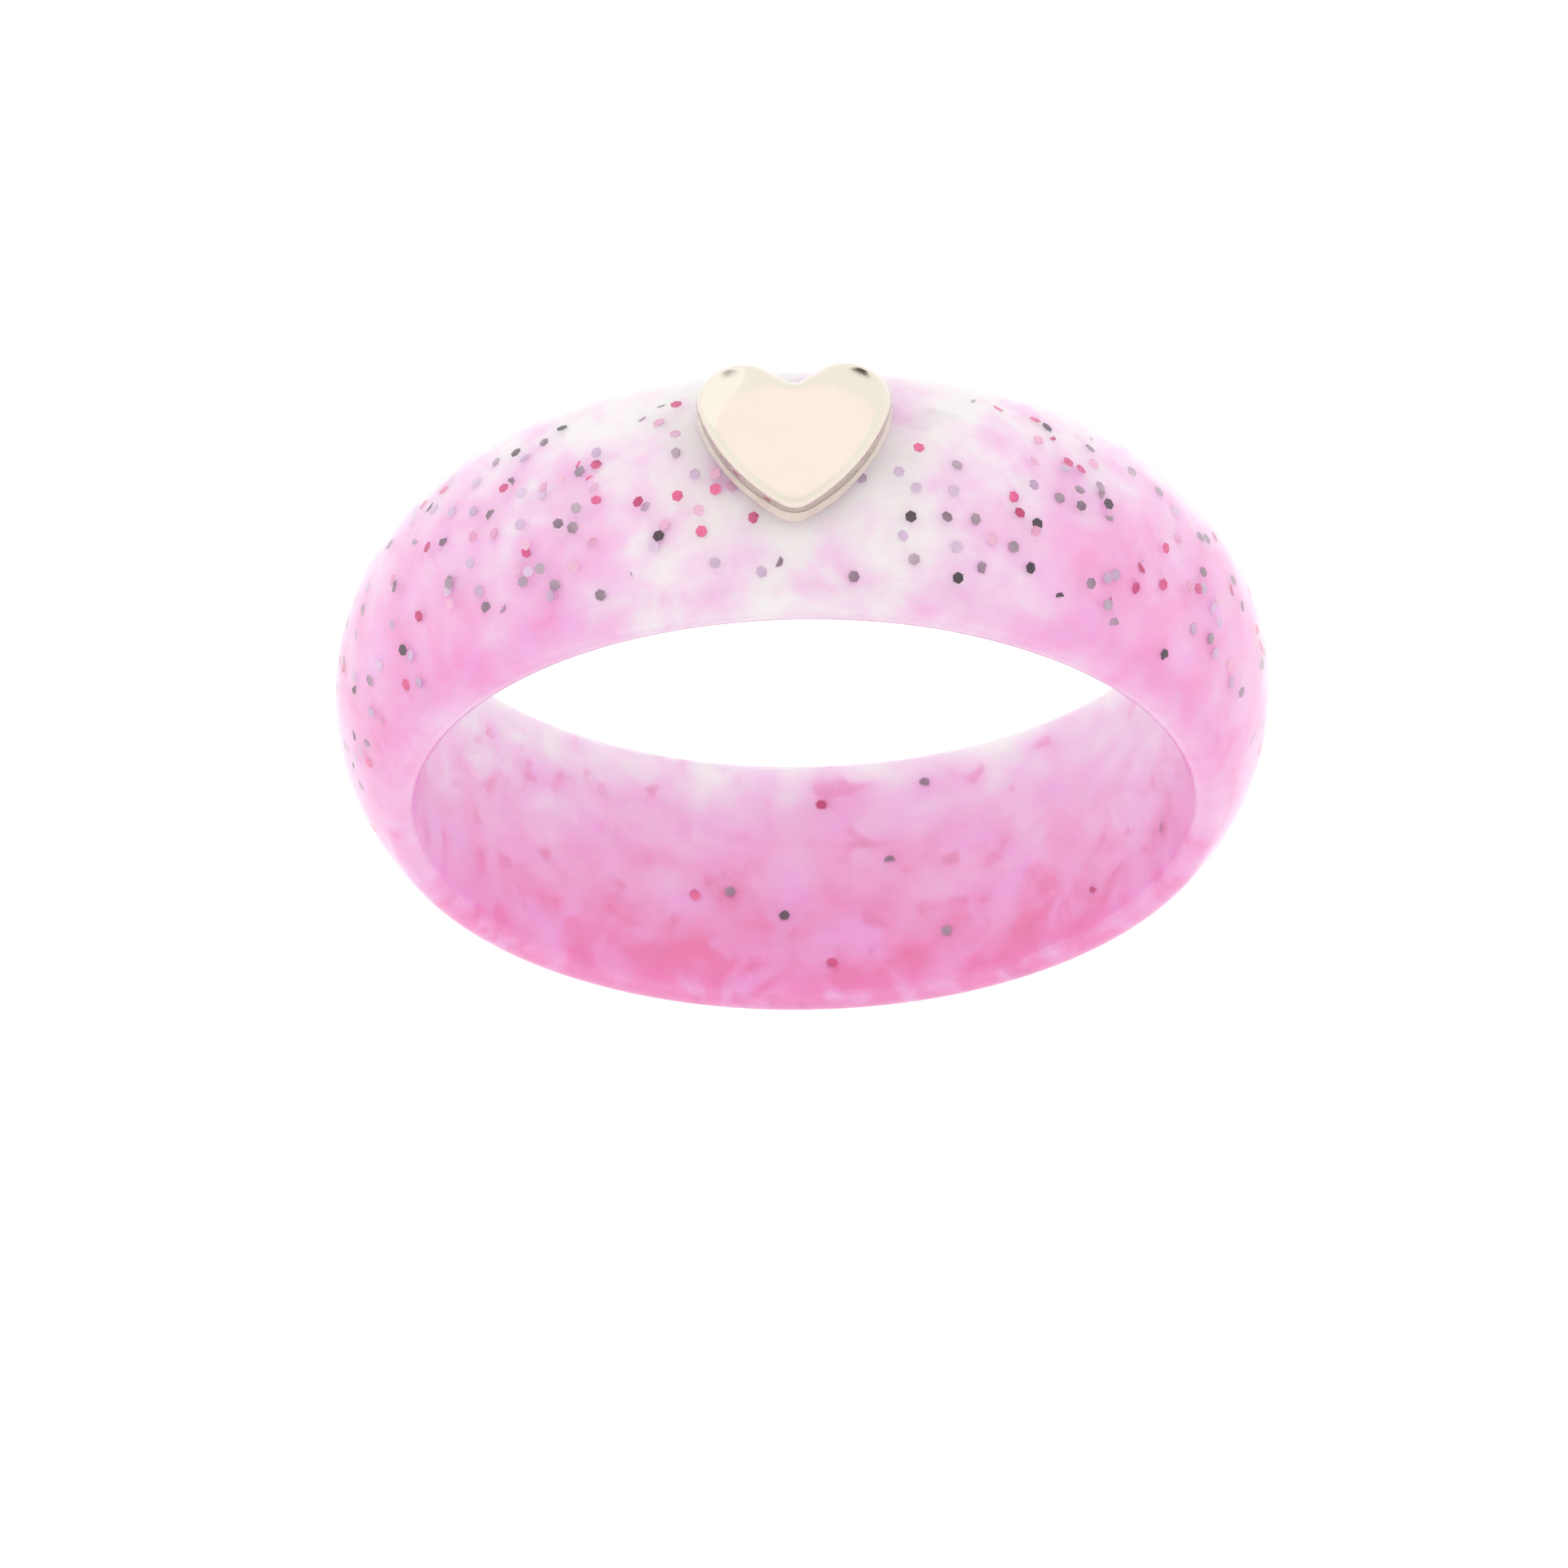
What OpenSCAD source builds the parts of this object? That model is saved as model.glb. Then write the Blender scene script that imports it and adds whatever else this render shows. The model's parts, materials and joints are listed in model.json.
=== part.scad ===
// Finger ring: a domed band of cast resin with hexagonal glitter inside it,
// and a solid metal heart glued to the crown of the band.
// The origin is the centre of the finger bore. The bore runs along Y and the heart is at +Z.

/* [Band] */
// Diameter of the finger bore
bore_d = 17.3; // [15:0.1:21]
// Width of the band along the finger
band_w = 6.2; // [5:0.1:7.5]
// Thickness of the band at the crown of its dome
band_t = 1.85; // [1.6:0.05:2.4]
// Radius that rounds the two edges of the band
edge_r = 0.4; // [0.25:0.05:0.5]

/* [Heart] */
// Width of the heart across its two lobes
heart_w = 4.3; // [3:0.1:4.8]
// Thickness of the heart at its middle
heart_t = 0.8; // [0.6:0.05:1.6]
// How far the middle of the heart sits behind the middle of the band
heart_back = 0.5; // [0:0.1:0.6]
// Thickness of the adhesive between the crown of the band and the heart
glue_t = 0.05; // [0.05:0.05:0.3]

/* [Glitter] */
// Size of a glitter flake across its corners
flake_d = 0.27; // [0.15:0.01:0.4]
// Thickness of a glitter flake
flake_t = 0.04; // [0.02:0.01:0.08]
// Number of hot pink flakes
hot_pink_count = 114; // [1:1:200]
// Number of black flakes
black_count = 65; // [1:1:200]
// Number of grey flakes
grey_count = 165; // [1:1:200]
// Number of lilac flakes
lilac_count = 130; // [1:1:200]
// Number of pale pink flakes
pale_pink_count = 80; // [1:1:200]

/* [Hidden] */

// The band's section: a straight bore wall, two round edges, and a dome arc tangent to both edges
bore_r = bore_d / 2;
crown_r = bore_r + band_t;
edge_y = band_w / 2 - edge_r;
dome_r = (band_t * (band_t - 2 * edge_r) + edge_y * edge_y) / (2 * (band_t - 2 * edge_r));
dome_centre = crown_r - dome_r;
dome_end = atan2(edge_y, bore_r + edge_r - dome_centre);
ring_steps = 144;
dome_steps = 24;
edge_steps = 8;

// The heart's outline: on each side half of the round notch, a straight arm, a lobe arc, a long flank arc
// and half of the round tip, all tangent
lobe_r = 0.221 * heart_w;
flank_r = 0.897 * heart_w;
heart_tip_r = 0.155 * heart_w;
notch_r = 0.058 * heart_w;
notch_slope = 40;
flank_start = -13;
lobe_x = heart_w / 2 - lobe_r;
arm_end = [lobe_x, 0] + lobe_r * [-sin(notch_slope), cos(notch_slope)];
notch_y = arm_end.y - arm_end.x * tan(notch_slope) + notch_r / cos(notch_slope);
flank_centre = [lobe_x, 0] - (flank_r - lobe_r) * [cos(flank_start), sin(flank_start)];
tip_y = flank_centre.y - sqrt(pow(flank_r - heart_tip_r, 2) - pow(flank_centre.x, 2));
flank_end = atan2(tip_y - flank_centre.y, -flank_centre.x);
heart_mid_y = (lobe_r + tip_y - heart_tip_r) / 2;
heart_steps = 14;

// The heart's top is part of a sphere, and its underside is flat
heart_dome_r = 1.4 * heart_w;
heart_base_z = crown_r + glue_t;
glue_scale = 0.92;
glue_reach = 1.2;

// The glitter lies in two clear layers: most of it under the dome, the rest behind the bore wall
dome_share = 0.84;
flake_cover = 0.13;
flake_depth = 0.38;
flake_spread = 0.86;
flake_tilt = 28;

// The flakes thin out under the heart and crowd at the shoulders beside it
heart_gap = 35;
shoulder = 28;

// Each kind of glitter has its own random order
hot_pink_seed = 770;
black_seed = 3205;
grey_seed = 405;
lilac_seed = 3105;
pale_pink_seed = 1990;

// Points on an arc about c, leaving out the first and last when skip is 1
function arc(c, r, from, to, steps, skip = 0) =
    [for (i = [skip : steps - skip])
        let (a = from + (to - from) * i / steps)
        c + r * [cos(a), sin(a)]];

function band_section() = concat(
    arc([bore_r + edge_r, edge_y], edge_r, 180, dome_end, edge_steps),
    arc([dome_centre, 0], dome_r, dome_end, -dome_end, dome_steps, 1),
    arc([bore_r + edge_r, -edge_y], edge_r, -dome_end, -180, edge_steps));

function half_heart() = concat(
    arc([0, notch_y], notch_r, -90, notch_slope - 90, heart_steps),
    arc([lobe_x, 0], lobe_r, notch_slope + 90, flank_start, heart_steps),
    arc(flank_centre, flank_r, flank_start, flank_end, heart_steps, 1),
    arc([0, tip_y], heart_tip_r, flank_end, -90, heart_steps));

// Distance from the bore's axis to the dome, at a place across the band's width
function dome_at(y) = dome_centre + sqrt(dome_r * dome_r - y * y);

// Distance from the bore's axis to a flake. Shares up to dome_share lie under the dome.
function flake_at(y, share) =
    share < dome_share
    ? dome_at(y) - flake_cover - flake_depth * share / dome_share
    : bore_r + flake_cover + flake_depth * (1 - share) / (1 - dome_share);

// Angle round the ring from the heart, for an even spread of angles from -180 to 180
function ring_angle(even) = even + heart_gap * sin(even) * exp(-pow(even / shoulder, 2));

module band_solid() {
    rotate([90, 0, 0])
        rotate_extrude($fn = ring_steps)
            polygon(band_section());
}

// The outline lies in XY, with the notch towards +Y and the middle of its length on the origin
module heart_outline() {
    right = half_heart();
    left = [for (i = [len(right) - 2 : -1 : 1]) [-right[i].x, right[i].y]];
    translate([0, -heart_mid_y])
        polygon(concat(right, left));
}

module resin_band() {
    color([0.97, 0.75, 0.88, 0.6]) band_solid();
}

module heart_charm() {
    color([0.98, 0.93, 0.86])
        translate([0, heart_back, heart_base_z])
            intersection() {
                linear_extrude(heart_t) heart_outline();
                translate([0, 0, heart_t - heart_dome_r]) sphere(heart_dome_r, $fn = ring_steps);
            }
}

// The adhesive reaches from the flat underside of the heart down to the dome
module heart_adhesive() {
    color([0.95, 0.95, 0.88, 0.5])
        difference() {
            translate([0, heart_back, crown_r - glue_reach])
                linear_extrude(glue_reach + glue_t)
                    scale(glue_scale) heart_outline();
            band_solid();
        }
}

// Flakes of one colour, nearly parallel to the dome
module glitter(count, seed) {
    even = rands(-180, 180, count, seed);
    across = rands(-1, 1, count, seed + 1);
    share = rands(0, 1, count, seed + 2);
    tilt = rands(-flake_tilt, flake_tilt, 2 * count, seed + 3);
    spin = rands(0, 60, count, seed + 4);
    for (i = [0 : count - 1]) {
        y = across[i] * edge_y * flake_spread;
        rotate([0, ring_angle(even[i]), 0])
            translate([0, y, flake_at(y, share[i])])
                rotate([tilt[2 * i] - asin(y / dome_r), tilt[2 * i + 1], 0])
                    rotate([0, 0, spin[i]])
                        cylinder(d = flake_d, h = flake_t, center = true, $fn = 6);
    }
}

module hot_pink_glitter() {
    color([0.88, 0.20, 0.50]) glitter(hot_pink_count, hot_pink_seed);
}

module black_glitter() {
    color([0.16, 0.08, 0.14]) glitter(black_count, black_seed);
}

module grey_glitter() {
    color([0.52, 0.45, 0.52]) glitter(grey_count, grey_seed);
}

module lilac_glitter() {
    color([0.80, 0.66, 0.86]) glitter(lilac_count, lilac_seed);
}

module pale_pink_glitter() {
    color([0.96, 0.72, 0.86]) glitter(pale_pink_count, pale_pink_seed);
}

resin_band();
heart_charm();
heart_adhesive();
hot_pink_glitter();
black_glitter();
grey_glitter();
lilac_glitter();
pale_pink_glitter();
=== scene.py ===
import json
import math

import bpy
from mathutils import Matrix, Vector, noise


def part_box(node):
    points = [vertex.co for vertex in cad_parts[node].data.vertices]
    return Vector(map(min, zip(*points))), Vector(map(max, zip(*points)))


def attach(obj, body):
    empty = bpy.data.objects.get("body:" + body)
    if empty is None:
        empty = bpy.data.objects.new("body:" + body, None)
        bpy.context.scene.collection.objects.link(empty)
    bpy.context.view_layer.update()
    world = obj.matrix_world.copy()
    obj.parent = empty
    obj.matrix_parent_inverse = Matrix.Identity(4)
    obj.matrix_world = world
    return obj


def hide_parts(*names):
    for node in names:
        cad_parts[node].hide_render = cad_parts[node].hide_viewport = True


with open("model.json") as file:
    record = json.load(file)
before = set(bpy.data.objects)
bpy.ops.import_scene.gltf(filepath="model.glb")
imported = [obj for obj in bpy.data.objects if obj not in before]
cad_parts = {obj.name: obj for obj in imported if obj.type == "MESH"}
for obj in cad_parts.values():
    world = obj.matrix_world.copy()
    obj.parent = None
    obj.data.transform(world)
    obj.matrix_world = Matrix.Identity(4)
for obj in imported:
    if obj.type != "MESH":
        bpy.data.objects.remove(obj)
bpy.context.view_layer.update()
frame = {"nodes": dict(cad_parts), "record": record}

MM = 0.001


# ---------------------------------------------------------------- sizes, all from the frame

bore = next(m for m in frame["record"]["mounts"] if m["name"] == "finger_bore")
band_low, band_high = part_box("resin_band")
heart_low, heart_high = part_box("heart_charm")

BORE_R = bore["dims"]["r_mm"] * MM
CROWN_R = -band_low.z
HALF_W = band_high.y
EDGE_R = HALF_W - bore["dims"]["length_mm"] * MM / 2
HEART_W = heart_high.x - heart_low.x
HEART_MID = Vector((0, (heart_low.y + heart_high.y) / 2, 0))


def dome_radius(thick, half_w, edge_r):
    """Radius of the dome arc that is tangent to both round edges of a band's section."""
    edge_y = half_w - edge_r
    return (thick * (thick - 2 * edge_r) + edge_y ** 2) / (2 * (thick - 2 * edge_r))


DOME_R = dome_radius(CROWN_R - BORE_R, HALF_W, EDGE_R)


def dome_height(x, y):
    """Height of the band's outer surface over a place near the crown."""
    r = CROWN_R - DOME_R + math.sqrt(DOME_R ** 2 - y ** 2)
    return math.sqrt(r ** 2 - x ** 2)


# ---------------------------------------------------------------- camera, light and floor

FRAME_WIDTH = 35.16 * MM
CAMERA_ELEVATION = math.radians(61.1)
CAMERA_ROLL = math.radians(0.7)
RING_TURN = math.radians(0.6)
CAMERA_DISTANCE = 0.5
RING_RIGHT = 0.41 * MM
RING_UP = 2.01 * MM


def make_camera():
    data = bpy.data.cameras.new("camera")
    camera = bpy.data.objects.new("camera", data)
    bpy.context.scene.collection.objects.link(camera)
    back = Vector((0, -math.cos(CAMERA_ELEVATION), math.sin(CAMERA_ELEVATION)))
    turn = (-back).to_track_quat("-Z", "Y").to_matrix() @ Matrix.Rotation(-CAMERA_ROLL, 3, "Z")
    aim = -RING_RIGHT * turn.col[0] - RING_UP * turn.col[1]
    around_bore = Matrix.Rotation(RING_TURN, 4, "Y")
    camera.matrix_world = around_bore @ Matrix.Translation(aim + CAMERA_DISTANCE * back) @ turn.to_4x4()
    data.lens = data.sensor_width * CAMERA_DISTANCE / FRAME_WIDTH
    data.clip_start = 0.01
    data.clip_end = 5
    bpy.context.scene.camera = camera


WORLD_STRENGTH = 1.6
CEILING = (0.97, 0.94, 0.91)
WALLS = (0.87, 0.915, 0.88)
NEAR_WALL_TINT = (0.95, 0.93, 0.91)
FLAG = (0.10, 0.10, 0.09)


def make_world():
    """A white studio: a warm ceiling, dimmer walls, and a pair of dark flags low against the far wall."""
    world = bpy.data.worlds.new("studio")
    bpy.context.scene.world = world
    world.use_nodes = True
    nodes, links = world.node_tree.nodes, world.node_tree.links
    nodes.clear()
    x, y, z = place_nodes(nodes, links, "Generated")

    room = ramp_node(nodes, links, z, [(0.60, WALLS), (0.66, CEILING)])
    away = share_node(nodes, links, y, -1, 1)
    near_wall = ramp_node(nodes, links, away, [(0.08, NEAR_WALL_TINT), (0.34, grey(1))])
    lit = multiply_colors(nodes, links, room, near_wall)

    # A flag is where all three masks are bright: far away, low down, and in one of two narrow strips
    far = ramp_node(nodes, links, away, [(0.78, grey(0)), (0.84, grey(1))])
    low = ramp_node(nodes, links, z, [(0.08, grey(0)), (0.12, grey(1)), (0.42, grey(1)), (0.46, grey(0))])
    strips = ramp_node(nodes, links, share_node(nodes, links, x, -1, 1),
                       [(0.31, grey(0)), (0.325, grey(0.6)), (0.345, grey(0.6)), (0.36, grey(0)),
                        (0.635, grey(0)), (0.65, grey(1)), (0.68, grey(1)), (0.695, grey(0))])
    flags = multiply_colors(nodes, links, multiply_colors(nodes, links, far, low), strips)

    background = nodes.new("ShaderNodeBackground")
    background.inputs["Strength"].default_value = WORLD_STRENGTH
    links.new(mix_colors(nodes, links, flags, lit, FLAG), background.inputs["Color"])
    out = nodes.new("ShaderNodeOutputWorld")
    links.new(background.outputs[0], out.inputs["Surface"])


# One weak, wide lamp, low behind the ring and to its left
LAMP_PLACE = (-0.55, 0.60, 0.20)
LAMP_SIZE = 0.9
LAMP_POWER = 0.3


def make_light(name, place, size, power):
    data = bpy.data.lights.new(name, "AREA")
    data.shape = "DISK"
    data.size = size
    data.energy = power
    light = bpy.data.objects.new(name, data)
    light.location = place
    light.rotation_mode = "QUATERNION"
    light.rotation_quaternion = (-Vector(place)).to_track_quat("-Z", "Y")
    bpy.context.scene.collection.objects.link(light)


FLOOR_HALF = 2.0
FLOOR_GREY = 0.35
FLOOR_GLOW = 0.85


def make_floor():
    """The light table that the ring stands on. Its base is grey, and its glow brings it up to white."""
    corners = [(FLOOR_HALF * x, FLOOR_HALF * y, band_low.z)
               for x, y in ((-1, -1), (1, -1), (1, 1), (-1, 1))]
    mesh = bpy.data.meshes.new("floor")
    mesh.from_pydata(corners, [], [(0, 1, 2, 3)])
    floor = bpy.data.objects.new("floor", mesh)
    bpy.context.scene.collection.objects.link(floor)
    material, _, _, shader = new_material("light_table")
    shader.inputs["Base Color"].default_value = (*grey(FLOOR_GREY), 1)
    shader.inputs["Roughness"].default_value = 0.6
    shader.inputs["Emission Color"].default_value = (1, 1, 1, 1)
    shader.inputs["Emission Strength"].default_value = FLOOR_GLOW
    floor.data.materials.append(material)


# ---------------------------------------------------------------- material helpers

def new_material(name):
    material = bpy.data.materials.new(name)
    material.use_nodes = True
    tree = material.node_tree
    return material, tree.nodes, tree.links, tree.nodes["Principled BSDF"]


def place_nodes(nodes, links, space):
    """The X, Y and Z of the shaded place, in one of the spaces of Blender's texture coordinates."""
    place = nodes.new("ShaderNodeTexCoord")
    split = nodes.new("ShaderNodeSeparateXYZ")
    links.new(place.outputs[space], split.inputs[0])
    return split.outputs["X"], split.outputs["Y"], split.outputs["Z"]


def noise_node(nodes, links, scale, detail=3.0, rough=0.55, warp=0.0):
    """Noise in the object's own coordinates. scale is in features per millimetre."""
    place = nodes.new("ShaderNodeTexCoord")
    tex = nodes.new("ShaderNodeTexNoise")
    tex.inputs["Scale"].default_value = scale / MM
    tex.inputs["Detail"].default_value = detail
    tex.inputs["Roughness"].default_value = rough
    tex.inputs["Distortion"].default_value = warp
    links.new(place.outputs["Object"], tex.inputs["Vector"])
    return tex.outputs["Fac"]


def ramp_node(nodes, links, source, stops):
    ramp = nodes.new("ShaderNodeValToRGB")
    while len(ramp.color_ramp.elements) < len(stops):
        ramp.color_ramp.elements.new(0.5)
    for element, (position, color) in zip(ramp.color_ramp.elements, stops):
        element.position = position
        element.color = (*color, 1)
    links.new(source, ramp.inputs[0])
    return ramp.outputs[0]


def grey(v):
    return (v, v, v)


def mix_colors(nodes, links, factor, a, b, blend="MIX"):
    mix = nodes.new("ShaderNodeMix")
    mix.data_type = "RGBA"
    mix.blend_type = blend
    if isinstance(factor, float):
        mix.inputs["Factor"].default_value = factor
    else:
        links.new(factor, mix.inputs["Factor"])
    for socket, value in ((mix.inputs[6], a), (mix.inputs[7], b)):
        if isinstance(value, tuple):
            socket.default_value = (*value, 1)
        else:
            links.new(value, socket)
    return mix.outputs[2]


def multiply_colors(nodes, links, a, b):
    return mix_colors(nodes, links, 1.0, a, b, "MULTIPLY")


def math_node(nodes, links, operation, *values):
    node = nodes.new("ShaderNodeMath")
    node.operation = operation
    for socket, value in zip(node.inputs, values):
        if isinstance(value, (int, float)):
            socket.default_value = value
        else:
            links.new(value, socket)
    return node.outputs[0]


def share_node(nodes, links, source, low, high):
    """0 where source is low, 1 where it is high, and past them outside that range."""
    return math_node(nodes, links, "MULTIPLY_ADD", source, 1 / (high - low), -low / (high - low))


def axis_distance(nodes, links, x, z):
    """Distance from the bore's axis."""
    squares = [math_node(nodes, links, "POWER", value, 2) for value in (x, z)]
    return math_node(nodes, links, "SQRT", math_node(nodes, links, "ADD", *squares))


def bump_node(nodes, links, height, distance, strength):
    bump = nodes.new("ShaderNodeBump")
    bump.inputs["Strength"].default_value = strength
    bump.inputs["Distance"].default_value = distance
    links.new(height, bump.inputs["Height"])
    return bump.outputs[0]


# ---------------------------------------------------------------- materials

BORE_SATIN = 0.34
SATIN_FADE = 0.25 * MM


def resin_material():
    """Clear cast resin, faintly pink: a polished dome with soft waves, and a satin bore."""
    material, nodes, links, shader = new_material("clear_resin")
    waves = noise_node(nodes, links, 0.35, detail=2)
    tint = ramp_node(nodes, links, waves, [(0.3, (1.0, 0.985, 0.995)), (0.7, (1.0, 0.97, 0.99))])
    links.new(tint, shader.inputs["Base Color"])
    polished = ramp_node(nodes, links, noise_node(nodes, links, 3.0),
                         [(0.3, grey(0.015)), (0.75, grey(0.05))])
    x, _, z = place_nodes(nodes, links, "Object")
    radius = axis_distance(nodes, links, x, z)
    above_bore = share_node(nodes, links, radius, BORE_R - SATIN_FADE, BORE_R + SATIN_FADE)
    satin = ramp_node(nodes, links, above_bore, [(0.55, grey(1)), (1.0, grey(0))])
    links.new(mix_colors(nodes, links, satin, polished, grey(BORE_SATIN)), shader.inputs["Roughness"])
    links.new(bump_node(nodes, links, waves, 0.05 * MM, 0.5), shader.inputs["Normal"])
    shader.inputs["Transmission Weight"].default_value = 1.0
    shader.inputs["IOR"].default_value = 1.45
    return material


TIP_SIDE_GAIN = 0.55
PATCH_GAIN = 1.1
PATCH_SHIFT = -0.52
# The pink is paler near the bore: painted light for light passing through the band
PAINTED_BORE_LIGHT_GAIN = 0.22
PAINTED_BORE_LIGHT_SHIFT = -0.20
WISP_COLOR = (0.95, 0.56, 0.90)
SPOT_COLOR = (0.72, 0.20, 0.44)


def cloud_depth_and_painted_light(nodes, links, height):
    """How deep the pink is: more so down the ring (partly pigment, partly painted shade), on the heart's
    tip side, outwards and in patches. The paler pink near the bore is painted light, standing in for light
    that passes through the band.
    """
    x, y, z = place_nodes(nodes, links, "Object")
    # Deeper pink down the ring: partly pigment, partly painted shade
    down = ramp_node(nodes, links, height,
                     [(0.0, grey(0.84)), (0.25, grey(0.68)), (0.5, grey(0.55)), (0.75, grey(0.54)),
                      (0.85, grey(0.48)), (0.92, grey(0.30)), (0.97, grey(0.08)), (1.0, grey(0))])
    tip_side = math_node(nodes, links, "MULTIPLY_ADD", y, -TIP_SIDE_GAIN / HALF_W, 1.0)
    # Paler towards the bore and deeper outwards: painted light on the bore's inner wall
    through = share_node(nodes, links, axis_distance(nodes, links, x, z), BORE_R, CROWN_R)
    outward = math_node(nodes, links, "MULTIPLY_ADD", through, PAINTED_BORE_LIGHT_GAIN, PAINTED_BORE_LIGHT_SHIFT)
    drift = noise_node(nodes, links, 0.75, detail=3, warp=0.3)
    patches = math_node(nodes, links, "MULTIPLY_ADD", drift, PATCH_GAIN, PATCH_SHIFT)
    even = math_node(nodes, links, "MULTIPLY", down, tip_side)
    return math_node(nodes, links, "ADD", math_node(nodes, links, "ADD", even, patches), outward)


def cloud_material():
    """Pigment clouds: milky white under the heart and pink round the ring, with wisps and deeper spots.
    Under the heart the white is lifted further and the wisps are thinned, as painted light over the shade
    that the heart casts.
    """
    material, nodes, links, shader = new_material("pink_clouds")
    _, _, z = place_nodes(nodes, links, "Object")
    height = share_node(nodes, links, z, -CROWN_R, CROWN_R)
    # The palest stop, milky white, is partly the resin's own colour and partly painted light under the
    # heart
    clouds = ramp_node(nodes, links, cloud_depth_and_painted_light(nodes, links, height),
                       [(0.05, (0.98, 0.94, 0.965)), (0.33, (0.975, 0.70, 0.88)),
                        (0.60, (0.97, 0.52, 0.79)), (0.85, (0.96, 0.40, 0.70)), (1.0, (0.92, 0.29, 0.56))])

    # Lilac wisps thin out towards the crown, as painted light where the heart shades the resin
    wisps = noise_node(nodes, links, 0.95, detail=2, rough=0.5, warp=0.6)
    wisp_mask = ramp_node(nodes, links, wisps, [(0.52, grey(0)), (0.70, grey(0.6))])
    painted_crown_light = ramp_node(nodes, links, height, [(0.86, grey(1)), (0.97, grey(0.35))])
    thin = multiply_colors(nodes, links, wisp_mask, painted_crown_light)
    wisped = mix_colors(nodes, links, thin, clouds, WISP_COLOR)

    # Deeper spots, which fade out at half the ring's height
    spots = noise_node(nodes, links, 1.5, detail=1)
    spot_mask = ramp_node(nodes, links, spots, [(0.62, grey(0)), (0.72, grey(0.4))])
    lower = ramp_node(nodes, links, height, [(0.40, grey(1)), (0.60, grey(0))])
    deep = multiply_colors(nodes, links, spot_mask, lower)
    links.new(mix_colors(nodes, links, deep, wisped, SPOT_COLOR), shader.inputs["Base Color"])

    rough = ramp_node(nodes, links, wisps, [(0.3, grey(0.5)), (0.7, grey(0.7))])
    links.new(rough, shader.inputs["Roughness"])
    shader.inputs["Subsurface Weight"].default_value = 0.8
    shader.inputs["Subsurface Radius"].default_value = (1.0, 0.7, 0.9)
    shader.inputs["Subsurface Scale"].default_value = 1.3 * MM
    return material


def metal_material():
    """Pale champagne gold plating, polished, with a faint grain."""
    material, nodes, links, shader = new_material("champagne_metal")
    color = ramp_node(nodes, links, noise_node(nodes, links, 0.8, detail=2),
                      [(0.3, (0.625, 0.555, 0.495)), (0.7, (0.64, 0.57, 0.515))])
    links.new(color, shader.inputs["Base Color"])
    grain = noise_node(nodes, links, 6.0, detail=4, rough=0.7)
    rough = ramp_node(nodes, links, grain, [(0.3, grey(0.05)), (0.75, grey(0.10))])
    links.new(rough, shader.inputs["Roughness"])
    links.new(bump_node(nodes, links, grain, 0.002 * MM, 0.6), shader.inputs["Normal"])
    shader.inputs["Metallic"].default_value = 1.0
    return material


def glue_material():
    """Milky translucent glue, set hard and glossy. Its base is darkened to beige as painted shade where
    the heart meets the resin.
    """
    material, nodes, links, shader = new_material("milky_glue")
    haze = noise_node(nodes, links, 1.5, detail=2)
    # The beige is the glue's milky tone darkened with painted shade
    tint = ramp_node(nodes, links, haze, [(0.3, (0.56, 0.47, 0.43)), (0.7, (0.64, 0.55, 0.50))])
    links.new(tint, shader.inputs["Base Color"])
    rough = ramp_node(nodes, links, haze, [(0.3, grey(0.10)), (0.7, grey(0.25))])
    links.new(rough, shader.inputs["Roughness"])
    links.new(bump_node(nodes, links, haze, 0.03 * MM, 0.6), shader.inputs["Normal"])
    shader.inputs["Subsurface Weight"].default_value = 0.6
    shader.inputs["Subsurface Radius"].default_value = (1.0, 0.9, 0.9)
    shader.inputs["Subsurface Scale"].default_value = 0.3 * MM
    return material


def flake_material(name, dark, light, metallic, roughness):
    """Glitter film, whose shade changes from place to place between dark and light."""
    material, nodes, links, shader = new_material(name)
    shade = noise_node(nodes, links, 0.9, detail=1)
    links.new(ramp_node(nodes, links, shade, [(0.35, dark), (0.65, light)]), shader.inputs["Base Color"])
    rough = ramp_node(nodes, links, noise_node(nodes, links, 12.0),
                      [(0.3, grey(roughness * 0.7)), (0.7, grey(roughness * 1.3))])
    links.new(rough, shader.inputs["Roughness"])
    shader.inputs["Metallic"].default_value = metallic
    return material


# ---------------------------------------------------------------- mesh helpers

def add_mesh(name, verts, faces, material):
    mesh = bpy.data.meshes.new(name)
    mesh.from_pydata(verts, [], faces)
    mesh.validate()
    mesh.polygons.foreach_set("use_smooth", [True] * len(mesh.polygons))
    piece = bpy.data.objects.new(name, mesh)
    bpy.context.scene.collection.objects.link(piece)
    mesh.materials.append(material)
    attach(piece, "root")
    return piece


def clamp(value, low, high):
    return max(low, min(high, value))


def arc(cx, cy, r, start, end, steps, skip=0):
    """Points on an arc, in degrees, leaving out the first and last when skip is 1."""
    angles = [math.radians(start + (end - start) * i / steps) for i in range(skip, steps + 1 - skip)]
    return [(cx + r * math.cos(a), cy + r * math.sin(a)) for a in angles]


WALL_STEPS = 16
EDGE_STEPS = 14
DOME_STEPS = 56


def ring_section(inner_r, outer_r, half_w, edge_r):
    """The closed section of a domed band as (distance from the axis, place across the width)."""
    dome = dome_radius(outer_r - inner_r, half_w, edge_r)
    edge_y = half_w - edge_r
    end = math.degrees(math.atan2(edge_y, inner_r + edge_r - (outer_r - dome)))
    wall = [(inner_r, edge_y * (2 * i / WALL_STEPS - 1)) for i in range(1, WALL_STEPS)]
    return (arc(inner_r + edge_r, edge_y, edge_r, 180, end, EDGE_STEPS)
            + arc(outer_r - dome, 0, dome, end, -end, DOME_STEPS, 1)
            + arc(inner_r + edge_r, -edge_y, edge_r, -end, -180, EDGE_STEPS)
            + wall)


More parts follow.
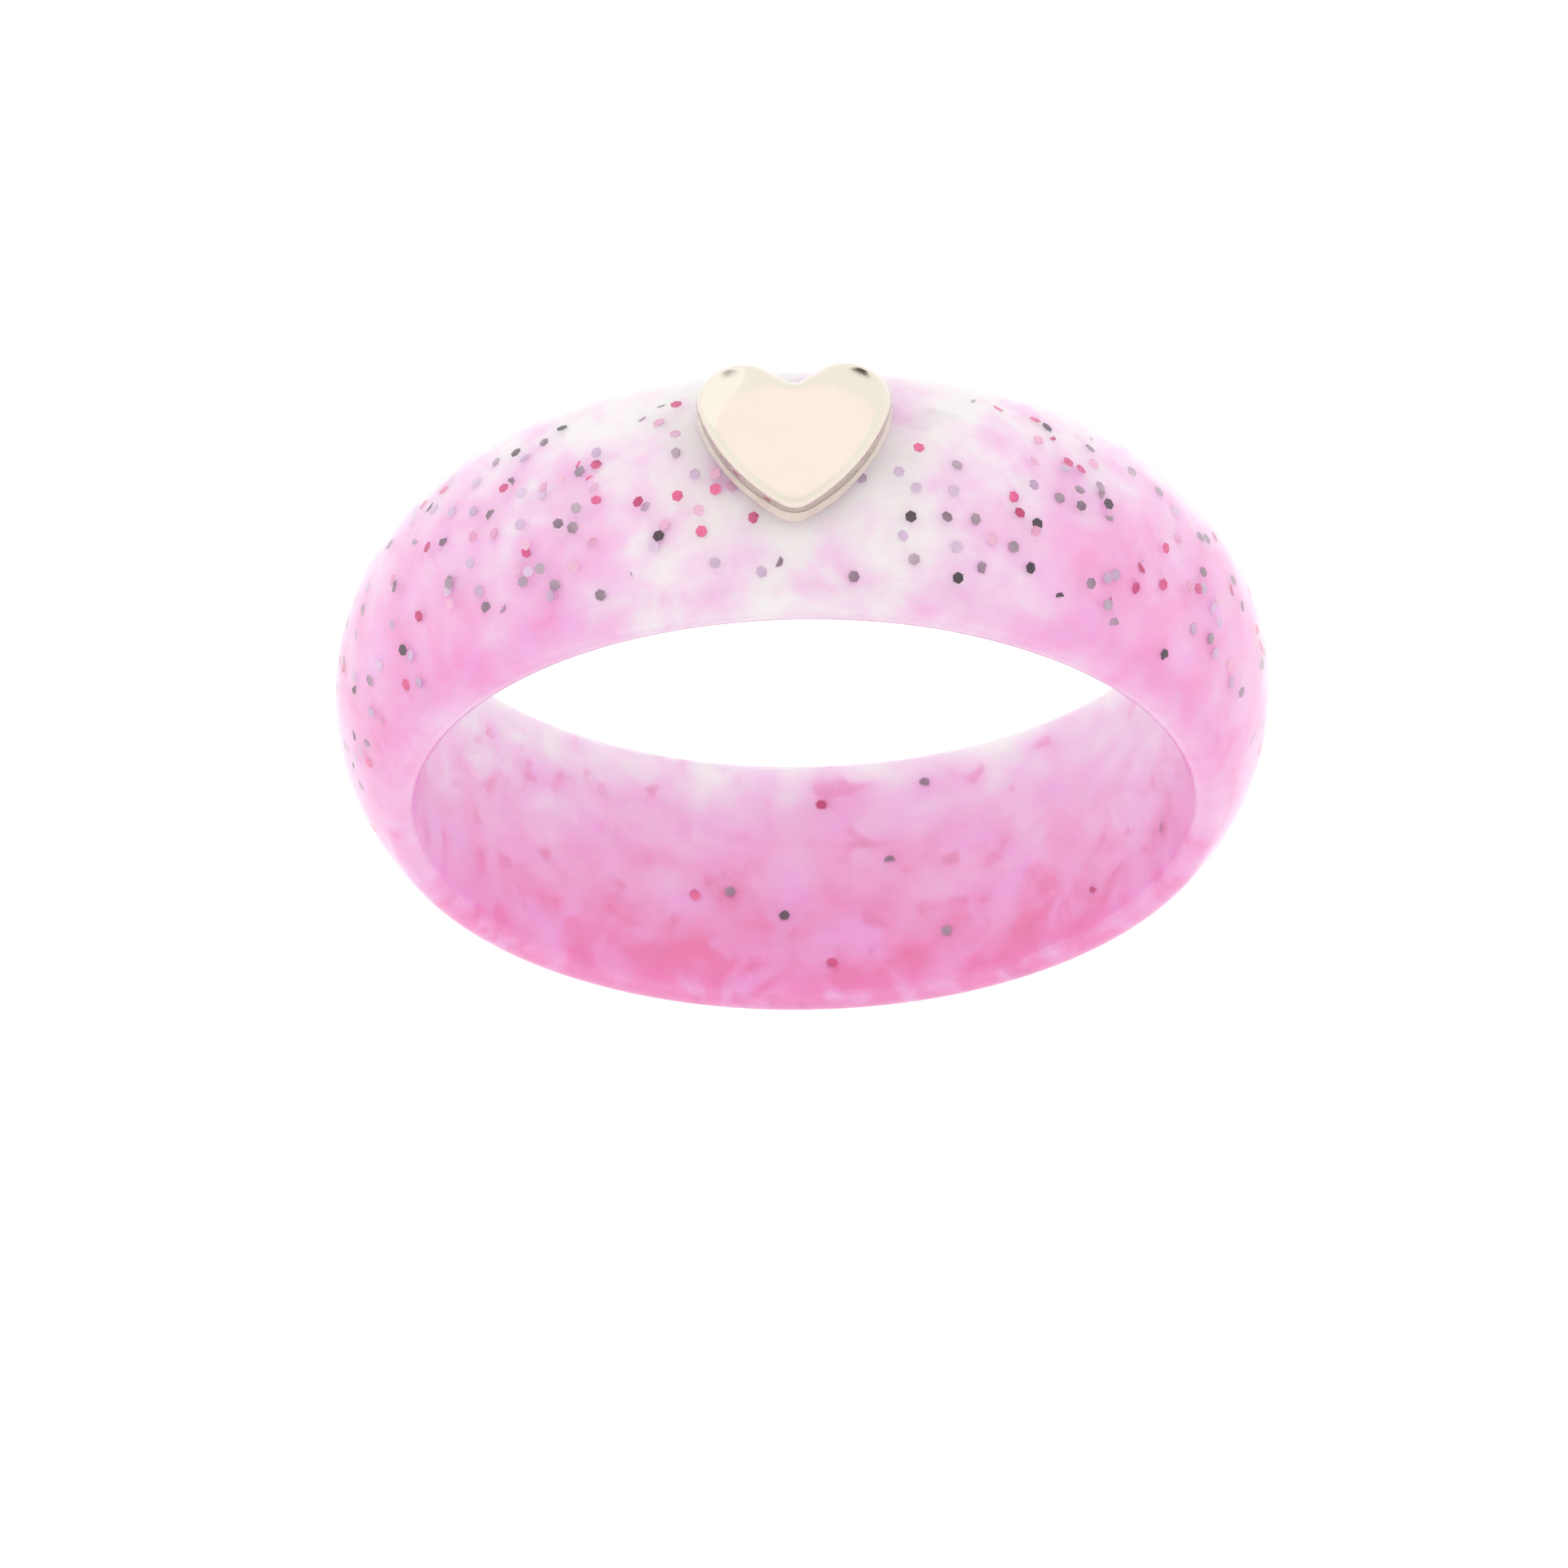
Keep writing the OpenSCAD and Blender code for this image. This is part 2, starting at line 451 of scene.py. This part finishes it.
def revolve(section, steps, move):
    """Verts and faces of a ring about Y. move(point, outward) returns the final place of each vertex."""
    count = len(section)
    verts, faces = [], []
    tangents = [Vector((section[(j + 1) % count][0] - section[j - 1][0],
                        section[(j + 1) % count][1] - section[j - 1][1])) for j in range(count)]
    for i in range(steps):
        a = 2 * math.pi * i / steps
        radial = Vector((math.sin(a), 0, math.cos(a)))
        for (r, y), t in zip(section, tangents):
            outward = (-t.y * radial + Vector((0, t.x, 0))).normalized()
            verts.append(move(r * radial + Vector((0, y, 0)), outward))
        for j in range(count):
            k, n = (j + 1) % count, (i + 1) % steps
            faces.append((i * count + j, i * count + k, n * count + k, n * count + j))
    return verts, faces


# ---------------------------------------------------------------- pieces

RESIN_STEPS = 400
WAVE_LENGTH = 5 * MM
WAVE_RISE = 0.02 * MM
CALM_BORE = 1.2 * MM


def make_resin():
    """The clear body of the band. It is cast by hand, so its dome waves by up to 0.02 mm."""
    def wave(point, outward):
        over_bore = clamp((point.length - BORE_R) / CALM_BORE, 0, 1)
        return point + outward * noise.noise(point / WAVE_LENGTH) * WAVE_RISE * over_bore

    verts, faces = revolve(ring_section(BORE_R, CROWN_R, HALF_W, EDGE_R), RESIN_STEPS, wave)
    piece = add_mesh("resin_body", verts, faces, resin_material())
    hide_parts("resin_band")


CLOUD_SKIN = 0.48 * MM
CLOUD_WALL = 0.20 * MM
CLOUD_SIDE = 0.13 * MM
CLOUD_EDGE = 0.16 * MM
CLOUD_STEPS = 360
BILLOW_LENGTH = 1.6 * MM
BILLOW_RISE = 0.14 * MM
BILLOW_LOW = -0.16 * MM
BILLOW_HIGH = 0.12 * MM
FLAKES_END = 2.35 * MM
RIM_FADE = 0.35 * MM
RIM_LIFT = 0.14 * MM


def make_clouds():
    """The pigment clouds in the resin. They billow behind the flakes and near the surface past them."""
    def billow(point, outward):
        inside_rims = max(0.0, 1 - (point.y / (HALF_W - CLOUD_SIDE)) ** 2)
        rise = noise.fractal(point / BILLOW_LENGTH, 1.0, 2.0, 3) * BILLOW_RISE
        rise = clamp(rise, BILLOW_LOW, BILLOW_HIGH) * inside_rims
        radial = Vector((point.x, 0, point.z)).normalized()
        past_flakes = clamp((abs(point.y) - FLAKES_END) / RIM_FADE, 0, 1)
        return point + outward * (rise + RIM_LIFT * past_flakes * max(0.0, outward.dot(radial)))

    section = ring_section(BORE_R + CLOUD_WALL, CROWN_R - CLOUD_SKIN, HALF_W - CLOUD_SIDE, CLOUD_EDGE)
    verts, faces = revolve(section, CLOUD_STEPS, billow)
    add_mesh("pigment_clouds", verts, faces, cloud_material())


LOBE_R = 0.221 * HEART_W
FLANK_R = 0.897 * HEART_W
HEART_TIP_R = 0.155 * HEART_W
NOTCH_R = 0.058 * HEART_W
NOTCH_SLOPE = 40
FLANK_START = -13
LOBE_STEPS = 36
ARM_STEPS = 8


def heart_outline():
    """The heart's outline from the notch, clockwise round both sides, about the middle of its length."""
    slope, start = math.radians(NOTCH_SLOPE), math.radians(FLANK_START)
    lobe_x = HEART_W / 2 - LOBE_R
    arm_end = Vector((lobe_x - LOBE_R * math.sin(slope), LOBE_R * math.cos(slope)))
    notch_y = arm_end.y - arm_end.x * math.tan(slope) + NOTCH_R / math.cos(slope)
    notch = arc(0, notch_y, NOTCH_R, -90, NOTCH_SLOPE - 90, LOBE_STEPS // 3)
    arm = [tuple(Vector(notch[-1]).lerp(arm_end, i / ARM_STEPS)) for i in range(1, ARM_STEPS)]
    flank_x = lobe_x - (FLANK_R - LOBE_R) * math.cos(start)
    flank_y = -(FLANK_R - LOBE_R) * math.sin(start)
    tip_y = flank_y - math.sqrt((FLANK_R - HEART_TIP_R) ** 2 - flank_x ** 2)
    flank_end = math.degrees(math.atan2(tip_y - flank_y, -flank_x))
    right = (notch + arm
             + arc(lobe_x, 0, LOBE_R, NOTCH_SLOPE + 90, FLANK_START, LOBE_STEPS)
             + arc(flank_x, flank_y, FLANK_R, FLANK_START, flank_end, LOBE_STEPS, 1)
             + arc(0, tip_y, HEART_TIP_R, flank_end, -90, LOBE_STEPS // 2))
    middle = (LOBE_R + tip_y - HEART_TIP_R) / 2
    points = right + [(-x, y) for x, y in right[-2:0:-1]]
    return [Vector((x, y - middle)) for x, y in points]


def outline_normals(points):
    """Outward unit normals of a clockwise outline."""
    along = [points[(i + 1) % len(points)] - points[i - 1] for i in range(len(points))]
    return [Vector((-t.y, t.x)).normalized() for t in along]


def skin_rings(rings, top, bottom):
    """Verts and faces over rings of equal length, closed at bottom by the first and at top by the last."""
    count = len(rings[0])
    verts = [v for ring in rings for v in ring]
    faces = []
    for k in range(len(rings) - 1):
        for i in range(count):
            j = (i + 1) % count
            faces.append((k * count + i, (k + 1) * count + i, (k + 1) * count + j, k * count + j))
    for ring_start, centre, flip in ((0, bottom, False), ((len(rings) - 1) * count, top, True)):
        verts.append(centre)
        for i in range(count):
            face = (ring_start + i, ring_start + (i + 1) % count, len(verts) - 1)
            faces.append(face[::-1] if flip else face)
    return verts, faces


HEART_EDGE = 0.36 * MM
HEART_CHAMFER = 0.05 * MM
HEART_DOME = 1.4 * HEART_W
HEART_EDGE_STEPS = 10
HEART_TOP_STEPS = 20


def make_heart():
    """A solid puffed heart: a flat underside, upright walls, a rounded edge and a spherical top."""
    outline = heart_outline()
    normals = outline_normals(outline)
    base, top = heart_low.z, heart_high.z

    def crown(p):
        return top - HEART_DOME + math.sqrt(HEART_DOME ** 2 - p.length_squared)

    def place(p, z):
        return Vector((p.x, p.y, z)) + HEART_MID

    # The rounded edge is tangent to the upright wall and to the domed top
    slopes = [math.asin((p - n * HEART_EDGE).dot(n) / HEART_DOME) for p, n in zip(outline, normals)]
    shoulder = [p - n * HEART_EDGE * (1 - math.sin(s)) for p, n, s in zip(outline, normals, slopes)]

    rings = [[place(p - n * HEART_CHAMFER, base) for p, n in zip(outline, normals)],
             [place(p, base + HEART_CHAMFER) for p in outline]]
    for k in range(HEART_EDGE_STEPS + 1):
        ring = []
        for p, n, s, q in zip(outline, normals, slopes, shoulder):
            a = (math.pi / 2 - s) * k / HEART_EDGE_STEPS
            height = crown(q) - HEART_EDGE * (math.cos(s) - math.sin(a))
            ring.append(place(p - n * HEART_EDGE * (1 - math.cos(a)), height))
        rings.append(ring)
    for k in range(1, HEART_TOP_STEPS):
        inner = [q * (1 - k / HEART_TOP_STEPS) for q in shoulder]
        rings.append([place(q, crown(q)) for q in inner])
    middle = Vector((0, 0))
    verts, faces = skin_rings(rings, place(middle, top), place(middle, base))
    piece = add_mesh("heart", verts, faces, metal_material())
    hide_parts("heart_charm")


GLUE_SPREAD = 0.03 * MM
GLUE_CLIMB = 0.07 * MM
GLUE_LAP = 0.01 * MM
GLUE_SINK = 0.06 * MM
GLUE_WAVE = 0.9 * MM
GLUE_STEPS = 8


def make_glue():
    """Milky glue that fills the gap under the heart and climbs its wall in a small fillet."""
    outline = heart_outline()
    normals = outline_normals(outline)
    head_z = heart_low.z + GLUE_CLIMB

    def on_dome(p, sink=0.0):
        y = p.y + HEART_MID.y
        return Vector((p.x, y, dome_height(p.x, y) - sink))

    # The first ring lies inside the resin, so that no gap shows under the bead
    rings = [[on_dome(p, GLUE_SINK) for p in outline]]
    for k in range(GLUE_STEPS + 1):
        up = k / GLUE_STEPS
        ring = []
        for p, n in zip(outline, normals):
            wet = GLUE_SPREAD * (1 + 0.5 * noise.noise(p.to_3d() / GLUE_WAVE))
            foot = on_dome(p + n * wet)
            head = (p + n * GLUE_LAP).to_3d() + HEART_MID
            bead = head.lerp(foot, (1 - up) ** 2)
            bead.z = foot.z + (head_z - foot.z) * up
            ring.append(bead)
        rings.append(ring)
    top = HEART_MID + Vector((0, 0, head_z))
    verts, faces = skin_rings(rings, top, on_dome(Vector((0, 0)), GLUE_SINK))
    piece = add_mesh("glue_bead", verts, faces, glue_material())
    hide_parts("heart_adhesive")


# Each kind's darkest and lightest colour, how metallic it is, and its roughness
FLAKES = {
    "hot_pink_glitter": ((0.60, 0.05, 0.20), (0.90, 0.16, 0.38), 0.3, 0.3),
    "black_glitter": ((0.010, 0.004, 0.010), (0.07, 0.035, 0.06), 0.2, 0.35),
    "grey_glitter": ((0.22, 0.14, 0.20), (0.52, 0.42, 0.50), 0.15, 0.4),
    "lilac_glitter": ((0.58, 0.42, 0.62), (0.80, 0.64, 0.84), 0.1, 0.35),
    "pale_pink_glitter": ((0.88, 0.42, 0.64), (0.95, 0.62, 0.80), 0.1, 0.35),
}


def dress_flakes():
    """The CAD's own flakes are seen through the resin, so they only need their films."""
    for node, (dark, light, metallic, roughness) in FLAKES.items():
        material = flake_material(node + "_film", dark, light, metallic, roughness)
        data = frame["nodes"][node].data
        data.materials.clear()
        data.materials.append(material)


make_camera()
make_world()
make_light("key", LAMP_PLACE, LAMP_SIZE, LAMP_POWER)
make_floor()
make_resin()
make_clouds()
make_heart()
make_glue()
dress_flakes()
bpy.context.scene.view_settings.view_transform = "Standard"
